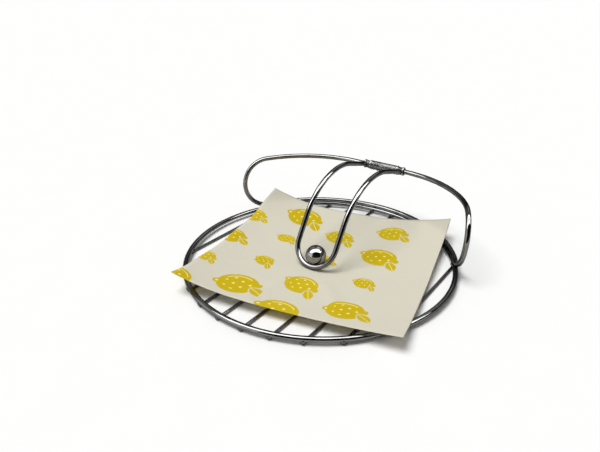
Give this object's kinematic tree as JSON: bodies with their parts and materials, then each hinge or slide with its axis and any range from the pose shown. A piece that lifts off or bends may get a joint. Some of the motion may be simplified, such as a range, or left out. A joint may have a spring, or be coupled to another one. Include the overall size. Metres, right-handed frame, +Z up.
{
  "type": "napkin holder",
  "caption": "Round chromed wire napkin tray with a raised back rail and a swinging arm whose steel ball holds the napkin down.",
  "frame": {"origin": "centre of the hoop, on the surface that the cross bars stand on", "axes": "+X to the right along the rail, +Y back towards the rail, +Z up"},
  "size_m": [0.2, 0.2, 0.0609],
  "materials": {
    "chrome_wire": "bright chromed steel wire",
    "chrome_sleeve": "bright chromed steel tube, faintly turned",
    "polished_ball": "polished solid steel ball",
    "napkin_paper": "matte printed tissue paper, folded in quarters"
  },
  "bodies": {
    "tray": {"tray_hoop": "chrome_wire", "base_bar_01": "chrome_wire", "base_bar_02": "chrome_wire", "base_bar_03": "chrome_wire", "base_bar_04": "chrome_wire", "base_bar_05": "chrome_wire", "base_bar_06": "chrome_wire", "base_bar_07": "chrome_wire", "base_bar_08": "chrome_wire", "base_bar_09": "chrome_wire", "base_bar_10": "chrome_wire", "handle_loop": "chrome_wire", "napkin": "napkin_paper"},
    "arm": {"hinge_sleeve": "chrome_sleeve", "swing_arm": "chrome_wire", "weight_ball": "polished_ball"}
  },
  "joints": [
    {"name": "arm_swing", "type": "hinge", "parent": "tray", "child": "arm", "pos_m": [0.0046, 0.0873, 0.0488], "axis": [-1, 0, 0], "range_deg": [0, 218]}
  ]
}
